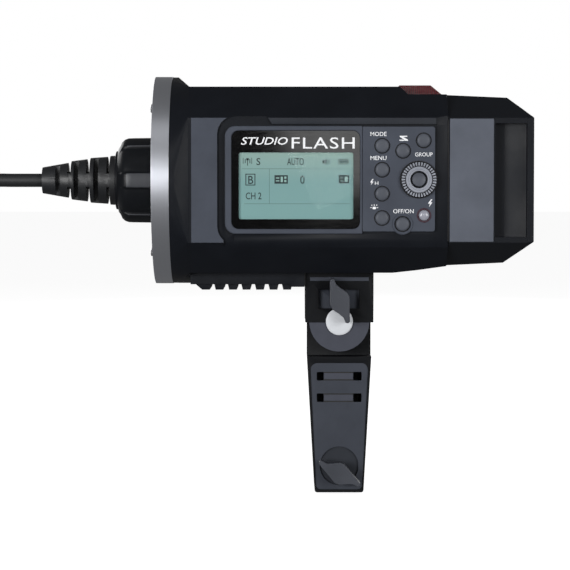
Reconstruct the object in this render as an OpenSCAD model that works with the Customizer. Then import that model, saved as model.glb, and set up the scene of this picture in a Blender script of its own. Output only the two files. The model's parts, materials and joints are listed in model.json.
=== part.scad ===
// Battery-powered studio flash head on a tilting stand bracket.
// X runs from the lamp mouth (-X) to the battery (+X), the control face looks to -Y and +Z is up.
// The origin is the mouth centre of the stand socket, at the foot of the handle.

/* [Body] */
// Height of the flash axis above the foot of the handle
axis_z = 181; // [181:1:190]
// Half width of the body, across its flat side faces
body_hw = 56; // [55.5:0.5:57]
// Height of the body's top face over the flash axis
body_top = 53.3; // [53:0.1:54]
// Depth of the body's underside below the flash axis
body_bot = 52.8; // [52.5:0.1:53.4]
// Half height of the flat side faces
side_hh = 35; // [34:0.5:36]
// Wall thickness of the mouldings
wall = 2.5; // [2:0.1:2.8]

/* [Front mount] */
// Outer radius of the front ring
ring_r = 60.2; // [60:0.1:61]
// Width of the front ring along the flash axis
ring_w = 10.1; // [9.5:0.1:10.5]
// Radius of the throat that takes a modifier's bayonet
throat_r = 49.3; // [49:0.1:49.6]

/* [Controls] */
// How far a button travels when it is pressed
button_travel = 0.8; // [0.5:0.1:0.9]
// Outer radius of the dial
dial_r = 10.2; // [9.8:0.1:10.3]
// Number of teeth around the dial
dial_teeth = 36; // [24:1:48]

/* [Battery] */
// Length of the battery pack along the flash axis
battery_l = 47.8; // [47.8:0.2:50]
// Half height of the battery pack where it meets the body
battery_hh = 48.6; // [48:0.1:48.7]

/* [Bracket and handle] */
// Radius of the stand socket, a running fit on a 5/8 inch (15.875 mm) spigot
socket_r = 8.05; // [8.0:0.01:8.1]
// Depth of the stand socket
socket_l = 34; // [30:1:34]
// Height of the tilt axis above the foot of the handle
pivot_z = 99.5; // [99:0.5:100]
// Radius of the umbrella hole, for an 8 mm shaft
umbrella_r = 4.2; // [4.1:0.05:4.2]

/* [Extension lead] */
// Diameter of the lead's cable
cord_d = 8; // [7:0.5:8]

/* [Hidden] */
$fn = 64;
eps = 0.01;

// ---- places along the flash axis ----
ring_x0 = -106.6;
ring_x1 = ring_x0 + ring_w;
collar_flat_x = -93.4;
body_x0 = -85.8;
body_x1 = 60.3;
battery_x0 = body_x1 + 0.3;
battery_x1 = battery_x0 + battery_l;
top_hw = 34;

// ---- helpers ----
// A (Y, Z) outline drawn about the flash axis, extruded along X from x0 to x1.
module along_x(x0, x1) {
    translate([x0, 0, axis_z])
        rotate([90, 0, 90])
            linear_extrude(x1 - x0)
                children();
}

// An (X, Z) outline drawn about the flash axis, extruded along Y from y0 to y1.
module across_y(y0, y1) {
    translate([0, y1, axis_z])
        rotate([90, 0, 0])
            linear_extrude(y1 - y0)
                children();
}

// An (X, Y) outline extruded along Z from z0 to z1.
module across_z(z0, z1) {
    translate([0, 0, z0])
        linear_extrude(z1 - z0)
            children();
}

// A rod on the flash axis from x0 to x1, moved by (y, z) off that axis.
module rod_x(x0, x1, r, y = 0, z = 0) {
    translate([x0, y, axis_z + z])
        rotate([0, 90, 0])
            cylinder(h = x1 - x0, r = r);
}

// A rod along Y from y0 to y1 at (x, z), with z counted from the foot of the handle.
module rod_y(y0, y1, r, x, z) {
    translate([x, y0, z])
        rotate([-90, 0, 0])
            cylinder(h = y1 - y0, r = r);
}

// A box between two corners.
module block(low, high) {
    translate(low)
        cube(high - low);
}

function arc(cx, cy, r, a0, a1, n = 6) =
    [for (i = [0:n]) let (a = a0 + (a1 - a0) * i / n) [cx + r * cos(a), cy + r * sin(a)]];

// Outline of a rectangle with round corners.
function round_rect(x0, x1, y0, y1, r) = concat(
    arc(x1 - r, y1 - r, r, 0, 90),
    arc(x0 + r, y1 - r, r, 90, 180),
    arc(x0 + r, y0 + r, r, 180, 270),
    arc(x1 - r, y0 + r, r, 270, 360)
);

// Eight-sided section of the body, inset by t.
function body_section(t) = let (c = 0.6 * t) [
    [body_hw - t, side_hh - c], [top_hw - c, body_top - t],
    [c - top_hw, body_top - t], [t - body_hw, side_hh - c],
    [t - body_hw, c - side_hh], [c - top_hw, t - body_bot],
    [top_hw - c, t - body_bot], [body_hw - t, c - side_hh]
];

// Side outline of the body: the roof steps down under the sensor, the belly rises to the rear.
roof_rear = 48.7;
belly_rear = 48.8;
function body_outline(t) = [
    [body_x0, body_top - t], [33.9, body_top - t], [38.5, roof_rear - t], [body_x1, roof_rear - t],
    [body_x1, t - belly_rear], [44, t - body_bot + 1.6], [30, t - body_bot], [body_x0, t - body_bot]
];

module body_solid(t) {
    intersection() {
        along_x(body_x0, body_x1)
            polygon(body_section(t));
        across_y(-body_hw - 1, body_hw + 1)
            polygon(body_outline(t));
    }
}

module body_shell() {
    difference() {
        body_solid(0);
        body_solid(wall);
    }
}

// ---- front mount ----
lip_w = 5;
lug_r = 54.2;
lug_half_angle = 12;
ring_screw_r = 57.4;
screw_angles = [45, 135, 225, 315];

module front_ring() {
    color("silver")
        difference() {
            rod_x(ring_x0, ring_x1, ring_r);
            rod_x(ring_x0 - 1, ring_x1 + 1, throat_r);
            rod_x(ring_x0 + lip_w, ring_x1 + 1, lug_r + 0.4);
            for (a = [90, 210, 330])
                along_x(ring_x0 - 1, ring_x0 + lip_w + 1)
                    lug_notch(a);
            for (a = screw_angles)
                rod_x(ring_x0 - 1, ring_x1 + 1, 1.55, ring_screw_r * cos(a), ring_screw_r * sin(a));
        }
}

module lug_notch(a) {
    polygon(concat(
        arc(0, 0, lug_r, a - lug_half_angle, a + lug_half_angle, 8),
        arc(0, 0, throat_r - 3, a + lug_half_angle, a - lug_half_angle, 8)
    ));
}

module ring_screws() {
    color("silver")
        for (a = screw_angles)
            union() {
                y = ring_screw_r * cos(a);
                z = ring_screw_r * sin(a);
                rod_x(ring_x0, ring_x1 - 0.2, 1.5, y, z);
                rod_x(ring_x0 - 1, ring_x0, 2.4, y, z);
            }
}

// Flare from the round ring to the eight-sided body.
lock_rod_r = 2;
lock_rod_y = 51;

module front_collar() {
    color([0.1, 0.11, 0.13])
        difference() {
            union() {
                hull() {
                    rod_x(ring_x1, collar_flat_x, ring_r - 0.2);
                    along_x(body_x0 - 0.2, body_x0)
                        polygon(body_section(0));
                }
                intersection() {
                    rod_x(collar_flat_x, body_x0, ring_r - 0.2);
                    block([-100, -24, 100], [-80, 24, axis_z - body_bot + 1]);
                }
            }
            rod_x(ring_x1 - 1, body_x0 + 1, throat_r + 0.2);
            rod_x(ring_x1 - 1, body_x0 + 1, lock_rod_r + 0.3, lock_rod_y);
        }
}

// Thumb slider behind the collar; its rod locks a modifier's lug.
slider_x0 = -81;
slider_x1 = -69;
slider_travel = 4;
slider_neck = [-80, -74];

module mount_lock_slider() {
    color([0.12, 0.13, 0.15])
        union() {
            rod_x(-101.4, -79.5, lock_rod_r, lock_rod_y);
            block([slider_neck[0], lock_rod_y - 2, axis_z - 3.6], [slider_neck[1], body_hw + 0.4, axis_z + 3.6]);
            block([slider_x0 - 2, body_hw + 0.3, axis_z - 8], [slider_x1, body_hw + 3, axis_z + 8]);
            for (i = [0:3])
                block([slider_x0 + 2.4 * i, body_hw + 3, axis_z - 6.5],
                      [slider_x0 + 2.4 * i + 1.2, body_hw + 3.8, axis_z + 6.5]);
        }
}

pan_x0 = -92;
pan_x1 = -88;
socket_or = 24;

module reflector_pan() {
    color("white")
        difference() {
            rod_x(pan_x0 - 3, pan_x1, throat_r);
            rod_x(pan_x0 - 4, pan_x0, throat_r - 2);
            rod_x(pan_x0 - 1, pan_x1 + 1, socket_or + 0.2);
            rod_x(pan_x0 - 4, pan_x1 + 1, lock_rod_r + 0.3, lock_rod_y);
        }
}

plug_r = 17;
pin_places = [for (a = [0, 90, 180, 270]) [10 * cos(a + 45), 10 * sin(a + 45)]];

module flash_socket() {
    color([0.85, 0.82, 0.75])
        difference() {
            rod_x(-106.2, -78, socket_or);
            rod_x(-107, -86, plug_r + 0.3);
            for (p = pin_places)
                rod_x(-87, -80, 2.3, p[0], p[1]);
        }
}

// ---- housing ----
lcd_box = [-58.5, 8, -23, 17];
dial_at = [43.5, 0.4];
// Name, x, height over the axis, radius
buttons = [
    ["button_mode", 23, 19.3, 3.9],
    ["button_menu", 23, 5.9, 3.9],
    ["button_sync", 23, -7.5, 3.9],
    ["button_lamp", 23, -21.1, 3.9],
    ["button_group", 34.7, 16.5, 3.9],
    ["button_channel", 46.2, 22.3, 3.9],
    ["button_power", 34.5, -24.5, 3.9],
    ["button_test", 46.5, -19.6, 3.0]
];
vent_x0 = -78;
vent_x1 = -28;
vent_hw = 20;
port_box = [-52, -26, -12, 6];
latch_box = [42, 54, -8, 8];

module half_space(side) {
    if (side < 0)
        block([-150, -70, 100], [100, 0, 260]);
    else
        block([-150, 0, 100], [100, 70, 260]);
}

// Opening for the fan, cut from both halves.
module shared_cuts() {
    block([vent_x0, -vent_hw, axis_z - body_bot - 1], [vent_x1, vent_hw, axis_z - body_bot + wall + 1]);
}

// Shape of the control face: a channel round the display's front end, a slot under the upper
// strip, a slope under the display and another behind the control plate.
channel_depth = 1.7;
module face_cuts() {
    across_y(-body_hw - 1, -body_hw + channel_depth)
        difference() {
            polygon(round_rect(-69.4, 80, -36, 36, 10));
            polygon(round_rect(-65.2, 90, -30.2, 30.6, 6));
            polygon([[-44, 40], [-38, 30.4], [-60, 30.4], [-60, -36.5], [100, -36.5], [100, 40]]);
        }
    block([-42, -body_hw - 1, axis_z + 30.5], [54, -body_hw + 1, axis_z + 31.5]);
    along_x(-66, body_x1 + 1)
        polygon([[-body_hw - 1, -30.2], [-body_hw, -30.2], [-body_hw + 3.5, -38], [-body_hw - 1, -38]]);
    across_z(axis_z - 40, axis_z + 36)
        polygon([[53.2, -body_hw - 1], [53.2, -body_hw], [61, -body_hw + 1.8], [61, -body_hw - 1]]);
}

module housing_control_side() {
    color([0.22, 0.24, 0.27])
        difference() {
            intersection() {
                body_shell();
                half_space(-1);
            }
            shared_cuts();
            face_cuts();
            block([lcd_box[0] - 0.5, -body_hw - 1, axis_z + lcd_box[2] - 0.5],
                  [lcd_box[1] + 0.5, -body_hw + wall + 1, axis_z + lcd_box[3] + 0.5]);
            for (b = buttons)
                rod_y(-body_hw - 1, -body_hw + wall + 1, 4.4, b[1], axis_z + b[2]);
            rod_y(-body_hw - 1, -body_hw + wall + 1, 7, dial_at[0], axis_z + dial_at[1]);
        }
}

module housing_far_side() {
    color([0.22, 0.24, 0.27])
        difference() {
            intersection() {
                body_shell();
                half_space(1);
            }
            shared_cuts();
            block([slider_neck[0] - 1, body_hw - wall - 1, axis_z - 4],
                  [slider_neck[1] + slider_travel + 0.5, body_hw + 1, axis_z + 4]);
            rod_x(port_box[0] + 2.5, port_box[1] - 2.5, hinge_r + 0.2, body_hw + 0.6, port_box[2] + 0.4);
            block([port_box[0], body_hw - wall - 1, axis_z + port_box[2]],
                  [port_box[1], body_hw + 1, axis_z + port_box[3]]);
            block([latch_box[0], body_hw - wall - 1, axis_z + latch_box[2]],
                  [latch_box[1], body_hw + 1, axis_z + latch_box[3]]);
            for (p = housing_screw_places)
                rod_y(body_hw - wall - 1, body_hw + 1, 1.6, p[0], axis_z + p[1]);
            for (x = bracket_screw_x)
                translate([x, bracket_screw_y, axis_z - body_bot - 1])
                    cylinder(h = wall + 2, r = 1.6);
        }
}

housing_screw_places = [[-66, 27], [-66, -27], [-8, 27], [-8, -27], [34, 27], [34, -27]];

module housing_screws() {
    color("dimgray")
        for (p = housing_screw_places)
            union() {
                rod_y(body_hw - 12, body_hw, 1.5, p[0], axis_z + p[1]);
                rod_y(body_hw, body_hw + 1.2, 2.9, p[0], axis_z + p[1]);
            }
}

// Cast strip under the body: slots for cooling air between cross ribs.
rib_pitch = 7.8;
rib_w = 6;
vent_base = 59.8;
vent_tip = 63;
vent_step = 61.3;
module vent_grille() {
    color([0.1, 0.11, 0.13])
        difference() {
            union() {
                across_y(-24, 24)
                    polygon([
                        [body_x0 + eps, -body_bot], [body_x0 + eps, -vent_base], [-28, -vent_base],
                        [-27.6, -vent_step], [-20.2, -vent_step], [-20.2, -body_bot]
                    ]);
                for (i = [0:6])
                    across_y(-22, 22)
                        polygon([
                            [rib_x(i) - (i == 0 ? 3 : 0), 0.1 - vent_base], [rib_x(i) + 0.8, -vent_tip],
                            [rib_x(i) + rib_w - 0.8, -vent_tip], [rib_x(i) + rib_w, 0.1 - vent_base]
                        ]);
            }
            for (i = [0:5])
                block([rib_x(i) + rib_w, 2 - vent_hw, axis_z - vent_tip],
                      [rib_x(i + 1), vent_hw - 2, axis_z - body_bot + 1]);
        }
}
function rib_x(i) = -80 + rib_pitch * i;

sensor_top = 54.4;
module optical_sensor_window() {
    color([0.55, 0.05, 0.08])
        across_y(-24, 24)
            polygon([
                [38.6, roof_rear], [34.1, body_top - 0.1], [34.1, sensor_top], [52.1, sensor_top],
                [58.6, roof_rear + 0.4], [58.6, roof_rear]
            ]);
}

// ---- inside ----
fan_x = -53;
fan_z0 = axis_z - body_bot + wall + 0.2;
module fan_frame() {
    color([0.15, 0.15, 0.16])
        difference() {
            block([fan_x - 25, -25, fan_z0], [fan_x + 25, 25, fan_z0 + 10.4]);
            difference() {
                translate([fan_x, 0, fan_z0 - 1])
                    cylinder(h = 12.4, r = 23.6);
                for (a = [0, 90])
                    translate([fan_x, 0, fan_z0 + 9.2])
                        rotate([0, 0, a + 45])
                            cube([60, 3, 2.4], center = true);
                translate([fan_x, 0, fan_z0 + 9])
                    cylinder(h = 3, r = 9);
                translate([fan_x, 0, fan_z0 + 3])
                    cylinder(h = 7, r = 1.5);
            }
        }
}

module fan_rotor() {
    color([0.2, 0.2, 0.22])
        difference() {
            translate([fan_x, 0, fan_z0 + 0.6])
                union() {
                    cylinder(h = 6.8, r = 10);
                    for (i = [0:6])
                        rotate([0, 0, i * 360 / 7])
                            translate([9, -0.8, 0.4])
                                rotate([24, 0, 0])
                                    cube([13.2, 1.2, 6.2]);
                }
            translate([fan_x, 0, fan_z0 + 2])
                cylinder(h = 6, r = 1.55);
        }
}

cap_r = 20;
module capacitor(z) {
    color([0.12, 0.16, 0.3])
        union() {
            rod_x(-18, 50, cap_r, 8, z);
            for (y = [3, 13])
                rod_x(-22, -18, 2.5, y, z);
        }
}

module power_board() {
    color([0.05, 0.35, 0.2])
        block([-62, 36, axis_z - 36], [52, 37.6, axis_z + 36]);
}

module charging_transformer() {
    color([0.6, 0.4, 0.2])
        union() {
            block([-58, 14, axis_z - 14], [-30, 36, axis_z + 16]);
            block([-62, 18, axis_z - 8], [-26, 32, axis_z + 10]);
        }
}

module control_board() {
    color([0.05, 0.35, 0.2])
        block([-60, -51.4, axis_z - 30], [52, -49.8, axis_z + 28]);
}

// Bulkhead that closes the body behind the battery's plug.
plug_hole = [-15, 15, -10, 10];
module rear_frame() {
    color([0.15, 0.16, 0.18])
        difference() {
            intersection() {
                body_solid(wall);
                block([body_x1 - 5, -70, 100], [body_x1, 70, 260]);
            }
            block([body_x1 - 6, plug_hole[0], axis_z + plug_hole[2]],
                  [body_x1 + 1, plug_hole[1], axis_z + plug_hole[3]]);
        }
}

module battery_contacts() {
    color("gold")
        for (y = [-9, -3, 3, 9])
            block([body_x1 - 9, y - 0.6, axis_z - 6], [body_x1 - 5.4, y + 0.6, axis_z + 6]);
}

module battery_latch() {
    color([0.12, 0.13, 0.15])
        union() {
            block([latch_box[0] + 0.4, body_hw - 4, axis_z + latch_box[2] + 0.4],
                  [latch_box[1] - 0.4, body_hw + 1.6, axis_z + latch_box[3] - 0.4]);
            for (i = [0:3])
                block([latch_box[0] + 2 + 2.4 * i, body_hw + 1.6, axis_z - 5],
                      [latch_box[0] + 3.2 + 2.4 * i, body_hw + 2.2, axis_z + 5]);
        }
}

jack_places = [[-46, -3, 3.2], [-36, -3, 3.2]];
module port_block() {
    color([0.08, 0.08, 0.09])
        difference() {
            block([port_box[0] - 2, body_hw - 14, axis_z + port_box[2] - 2],
                  [port_box[1] + 2, body_hw - wall - 0.1, axis_z + port_box[3] + 2]);
            for (j = jack_places)
                rod_y(body_hw - 12, body_hw, j[2] / 2, j[0], axis_z + j[1]);
            block([-32, body_hw - 10, axis_z - 5], [-29, body_hw, axis_z - 1]);
        }
}

// Rubber flap over the sockets, on a round hinge bead along its lower edge.
hinge_r = 1.2;
module port_cover() {
    color([0.1, 0.1, 0.11])
        union() {
            block([port_box[0] + 0.4, body_hw - 1.8, axis_z + port_box[2] + 0.4],
                  [port_box[1] - 0.4, body_hw + 0.6, axis_z + port_box[3] - 0.4]);
            rod_x(port_box[0] + 3, port_box[1] - 3, hinge_r, body_hw + 0.6, port_box[2] + 0.4);
        }
}

// ---- display and controls ----
bezel_box = [-65, 12, -30, 30.4];
glass_box = [-61.4, 10.6, -27.2, 27.8];
lcd_view = [-57.3, 6.9, -21.8, 15.6];

// Outline of a box, with corners of radius r on its left and r_right on its right.
function rect_of(b, r, r_right) = concat(
    arc(b[1] - r_right, b[3] - r_right, r_right, 0, 90),
    arc(b[0] + r, b[3] - r, r, 90, 180),
    arc(b[0] + r, b[2] + r, r, 180, 270),
    arc(b[1] - r_right, b[2] + r_right, r_right, 270, 360)
);

module display_bezel() {
    color([0.1, 0.11, 0.13])
        across_y(-body_hw - 1.9, -body_hw)
            difference() {
                polygon(rect_of(bezel_box, 6, 0.6));
                polygon(rect_of(glass_box, 4, 4));
            }
}

module display_window() {
    color("black")
        across_y(-body_hw - 1.5, -body_hw)
            difference() {
                polygon(rect_of([for (i = [0:3]) glass_box[i] + (i % 2 == 0 ? 0.1 : -0.1)], 4, 4));
                polygon(rect_of(lcd_view, 1, 1));
            }
}

module lcd_panel() {
    color([0.62, 0.74, 0.7])
        block([lcd_box[0], -body_hw, axis_z + lcd_box[2]], [lcd_box[1], -51.6, axis_z + lcd_box[3]]);
}

plate_box = [12.1, 52.6, -28.6, 30];
plate_t = 1.9;
module control_plate() {
    color([0.2, 0.22, 0.25])
        across_y(-body_hw - plate_t, -body_hw)
            difference() {
                union() {
                    polygon(rect_of(plate_box, 0.4, 1.4));
                    translate([34.5, -24.5])
                        circle(r = 6);
                }
                for (b = buttons)
                    translate([b[1], b[2]])
                        circle(r = b[3] + 0.3);
                translate(dial_at)
                    circle(r = 6.3);
            }
}

// A cap stands clear of the plate by its travel and half a millimetre more.
button_y = -body_hw - plate_t - button_travel - 0.5;
module button(b) {
    color([0.16, 0.17, 0.19])
        union() {
            rod_y(button_y, -body_hw + 1, b[3], b[1], axis_z + b[2]);
            translate([b[1], button_y, axis_z + b[2]])
                rotate([90, 0, 0])
                    cylinder(h = 0.4, r1 = b[3], r2 = b[3] - 0.5);
        }
}

// Dial: toothed rim on a sleeve that turns in the control plate.
dial_bore_r = 4.7;
module control_dial() {
    color([0.12, 0.13, 0.14])
        difference() {
            union() {
                across_y(-body_hw - plate_t - 3.2, -body_hw - plate_t - 0.2)
                    translate(dial_at)
                        polygon([for (i = [0:dial_teeth * 2 - 1])
                            let (a = i * 180 / dial_teeth, r = i % 2 == 0 ? dial_r : dial_r - 0.6)
                            [r * cos(a), r * sin(a)]]);
                rod_y(-body_hw - plate_t - 0.3, -body_hw + 1.5, 6, dial_at[0], axis_z + dial_at[1]);
            }
            rod_y(-body_hw - 8, -body_hw + 3, dial_bore_r, dial_at[0], axis_z + dial_at[1]);
        }
}

module dial_centre_button() {
    color([0.16, 0.17, 0.19])
        rod_y(-body_hw - plate_t - 3.4, -body_hw + 2, dial_bore_r - 0.8, dial_at[0], axis_z + dial_at[1]);
}

// ---- battery ----
battery_hw = 55;
battery_fall = 1.6;
end_cap_x = 104.6;
function battery_section(t) = [
    [battery_hw - t, 35 - t / 2], [31, battery_hh - t], [-31, battery_hh - t], [t - battery_hw, 35 - t / 2],
    [t - battery_hw, t / 2 - 35], [-31, t - battery_hh], [31, t - battery_hh], [battery_hw - t, t / 2 - 35]
];
battery_outline = [
    [battery_x0, battery_hh], [95, battery_hh - battery_fall], [battery_x1, 35.2],
    [battery_x1, -34.5], [93, battery_fall - battery_hh], [battery_x0, -battery_hh]
];

module battery_solid() {
    intersection() {
        along_x(battery_x0, battery_x1)
            polygon(battery_section(0));
        across_y(-60, 60)
            polygon(battery_outline);
    }
}

// Finger hollow on the side given by s, -1 for the control side.
module grip_hollow(s) {
    across_z(axis_z - 32, axis_z + 32)
        polygon([[86.2, s * 60], [87.4, s * 46.6], [92.5, s * 46.6], [104.4, s * 50.5], [104.4, s * 60]]);
}

module battery_case() {
    color([0.22, 0.24, 0.27])
        union() {
            difference() {
                intersection() {
                    battery_solid();
                    block([battery_x0 - 1, -70, 100], [end_cap_x, 70, 260]);
                }
                along_x(battery_x0 + wall, 84)
                    polygon(battery_section(wall + 1));
                block([80, -43.5, axis_z - 32], [end_cap_x + 1, 43.5, axis_z + 32]);
                grip_hollow(-1);
                grip_hollow(1);
            }
            block([battery_x0 - 5, plug_hole[0] + 0.5, axis_z + plug_hole[2] + 0.5],
                  [battery_x0 + 1, plug_hole[1] - 0.5, axis_z + plug_hole[3] - 0.5]);
        }
}

module battery_end_cap() {
    color([0.18, 0.2, 0.22])
        difference() {
            intersection() {
                battery_solid();
                block([end_cap_x, -70, 100], [battery_x1 + 1, 70, 260]);
            }
            block([end_cap_x - 1, -43, axis_z - 30], [battery_x1 - 2.5, 43, axis_z + 30]);
        }
}

module battery_plate(s) {
    color([0.36, 0.38, 0.42])
        across_y(s < 0 ? -battery_hw - 1.2 : battery_hw, s < 0 ? -battery_hw : battery_hw + 1.2)
            polygon(round_rect(battery_x0 + 0.4, 85.8, -34.6, 34.6, 0.5));
}

cell_r = 9.1;
module battery_cells() {
    color([0.2, 0.5, 0.3])
        for (i = [0:2], x = [73.4, 92.4])
            translate([x, -32.5, axis_z - 20 + 20 * i])
                rotate([-90, 0, 0])
                    cylinder(h = 65, r = cell_r);
}

// ---- bracket under the body ----
head_hx = 19.7;
head_y0 = -21;
head_y1 = 20;
head_z0 = 99;
slot_y0 = -7.2;
slot_y1 = 13.8;
umbrella_y = -13.2;
umbrella_z = 112;
cheek_r = 17.4;
bolt_r = 4;
bracket_screw_x = [-13, 13];
bracket_screw_y = 3.3;

module bracket_head() {
    color([0.08, 0.085, 0.1])
        difference() {
            union() {
                block([-head_hx, head_y0, head_z0], [head_hx, head_y1, axis_z - body_bot]);
                block([-17, head_y0 - 0.9, 123], [17, head_y0 + 1, 125.2]);
                intersection() {
                    rod_y(head_y0 + 0.6, head_y1, cheek_r, 0, pivot_z);
                    block([-30, -30, 70], [30, 30, head_z0 + eps]);
                }
            }
            block([-30, slot_y0, 70], [30, slot_y1, pivot_z + 19.9]);
            rod_y(head_y0 - 1, head_y1 + 1, bolt_r + 0.05, 0, pivot_z);
            rod_y(head_y0 - 1, head_y0 + 0.6, 8, 0, pivot_z);
            translate([-head_hx - 1, umbrella_y, umbrella_z])
                rotate([0, 90, 0])
                    cylinder(h = 2 * head_hx + 2, r = umbrella_r);
            block([-12, head_y0 - 1, 107], [11.5, -18, 118]);
            rod_y(head_y0 - 1, umbrella_y, 3.1, 0, umbrella_z);
            for (x = bracket_screw_x)
                translate([x, bracket_screw_y, pivot_z + 15])
                    cylinder(h = 20, r = 1.6);
        }
}

module bracket_screws() {
    color("silver")
        for (x = bracket_screw_x)
            translate([x, bracket_screw_y, pivot_z + 20.1])
                cylinder(h = 12, r = 1.5);
}

// Two-armed wing grip: one arm's side, and the same turned half round.
wing_arm = [[-5.2, 10.6], [-4.5, 11.6], [-3, 11.4], [-1.9, 8.6], [0.6, 6.6], [3.7, 4.6], [5.1, 2.2]];
wing_outline = concat(wing_arm, [for (p = wing_arm) -p]);
wing_t = 9;

// Clamp knob at (x, z): wing scaled by size, hub down to y_face and screw down to y_tip.
module wing_knob(x, z, y_face, y_wing, turn, size, screw_r, y_tip) {
    union() {
        rod_y(y_wing + 2, y_face, 4.6, x, z);
        rod_y(y_face - 1, y_tip, screw_r, x, z);
        translate([x, y_wing + wing_t, z])
            rotate([90, turn, 0])
                linear_extrude(wing_t)
                    polygon(size * wing_outline);
    }
}

module umbrella_knob() {
    color([0.1, 0.1, 0.11])
        wing_knob(0, umbrella_z, -18.2, -33, 0, 1.1, 2.95, -17.5);
}

module pivot_bolt() {
    color("gainsboro")
        union() {
            rod_y(head_y0 + 0.6 - 1.6, head_y0 + 0.6, 7.8, 0, pivot_z);
            rod_y(head_y0, 33.5, bolt_r, 0, pivot_z);
        }
}

module pivot_nut() {
    color("silver")
        difference() {
            translate([0, 30.8, pivot_z])
                rotate([-90, 0, 0])
                    cylinder(h = 3.5, r = 6.6, $fn = 6);
            rod_y(30, 35, bolt_r + 0.02, 0, pivot_z);
        }
}

module tilt_washers() {
    color("silver")
        for (y = [slot_y0 + 0.05, slot_y1 - 1.45])
            difference() {
                rod_y(y, y + 1.4, 12, 0, pivot_z);
                rod_y(y - 1, y + 3, bolt_r + 0.06, 0, pivot_z);
            }
}

module tilt_lever() {
    color([0.12, 0.13, 0.15])
        difference() {
            union() {
                rod_y(head_y1 + 0.3, 30.5, 9.5, 0, pivot_z);
                block([-5.5, 23.5, pivot_z - 46], [5.5, 30, pivot_z]);
                rod_y(23.5, 30, 5.5, 0, pivot_z - 46);
            }
            rod_y(head_y1, 32, bolt_r + 0.06, 0, pivot_z);
        }
}

// ---- handle ----
handle_y0 = -18.2;
handle_y1 = 17;
foot_hw = 14.2;
shoulder_hw = 18.6;
shoulder_z = 79;
tongue_y0 = -5.7;
tongue_y1 = 12.3;

foot_r = 1.5;
handle_outline = concat(
    [[shoulder_hw, shoulder_z], [-shoulder_hw, shoulder_z]],
    arc(foot_r - foot_hw, foot_r, foot_r, 180, 270),
    arc(foot_hw - foot_r, foot_r, foot_r, 270, 360)
);
panel_outline = concat(
    arc(-10.8, 4.4, 2.6, 180, 270, 4),
    arc(10.8, 4.4, 2.6, 270, 360, 4),
    arc(12.6, 71.4, 4, 0, 75, 4),
    arc(-12.6, 71.4, 4, 105, 180, 4)
);
knob_recess_z = 15.5;
stand_knob_z = 12.5;

module handle_shell() {
    color([0.08, 0.085, 0.1])
        difference() {
            union() {
                translate([0, handle_y1, 0])
                    rotate([90, 0, 0])
                        linear_extrude(handle_y1 - handle_y0)
                            polygon(handle_outline);
                translate([0, tongue_y1, 0])
                    rotate([90, 0, 0])
                        linear_extrude(tongue_y1 - tongue_y0)
                            polygon(concat(
                                arc(0, pivot_z, shoulder_hw, 0, 180, 24),
                                [[-shoulder_hw, shoulder_z], [-15, 60], [15, 60], [shoulder_hw, shoulder_z]]
                            ));
            }
            // Seat of the front panel, and the hollow behind it
            translate([0, handle_y0 + 2, 0])
                rotate([90, 0, 0])
                    linear_extrude(4)
                        polygon(panel_outline);
            translate([0, handle_y1 - 3, 0])
                rotate([90, 0, 0])
                    linear_extrude(handle_y1 - handle_y0)
                        polygon([[-12, 38], [12, 38], [13.4, 70], [-13.4, 70]]);
            translate([0, 0, -1])
                cylinder(h = socket_l + 1, r = liner_r);
            rod_y(handle_y0, -5, 4, 0, stand_knob_z);
            rod_y(-30, 30, bolt_r + 0.06, 0, pivot_z);
        }
}

slot_z = [67.6, 55.1];
module handle_panel() {
    color([0.17, 0.18, 0.2])
        union() {
            translate([0, handle_y0 + 1.9, 0])
                rotate([90, 0, 0])
                    linear_extrude(1.6)
                        difference() {
                            polygon(panel_outline);
                            for (z = slot_z)
                                polygon(round_rect(-13, 13, z - 2.5, z + 2.5, 0.6));
                            translate([0, knob_recess_z])
                                circle(r = 11.2);
                        }
            for (z = slot_z)
                block([-9, handle_y0 + 0.9, z - 2.6], [8.2, handle_y0 + 1.9, z + 2.6]);
        }
}

liner_r = 10.8;
module socket_liner() {
    color("silver")
        difference() {
            cylinder(h = socket_l, r = liner_r);
            translate([0, 0, -1])
                cylinder(h = socket_l, r = socket_r);
            rod_y(-12, -5, 4, 0, stand_knob_z);
        }
}

module stand_knob() {
    color([0.1, 0.1, 0.11])
        wing_knob(0, stand_knob_z, handle_y0 + 1.9, -32, -39, 1.1, 3.9, -8.3);
}

// ---- extension lead ----
core_x0 = -130;
grip_x0 = -128.6;
grip_x1 = -107;
module plug_core() {
    color([0.1, 0.1, 0.11])
        union() {
            rod_x(core_x0, -90, plug_r);
            for (p = pin_places)
                rod_x(-90, -81, 2, p[0], p[1]);
        }
}

grip_ribs = 6;
module plug_grip() {
    color([0.12, 0.12, 0.13])
        difference() {
            union() {
                rod_x(-124, grip_x1, 24.6);
                translate([grip_x0, 0, axis_z])
                    rotate([0, 90, 0])
                        cylinder(h = 4.6, r1 = 19.4, r2 = 24.6);
                for (i = [0:grip_ribs - 1])
                    along_x(-125, grip_x1)
                        rotate([0, 0, i * 60])
                            translate([18, -4.4])
                                square([8, 8.8]);
            }
            rod_x(grip_x0 - 1, grip_x1 + 1, plug_r + 0.05);
        }
}

// Slotted sleeve that stiffens the cable. The slots cut it in turn from above and below, and from
// the two sides, so that it bends any way.
relief_x0 = -173;
relief_core_r = 5;
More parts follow.
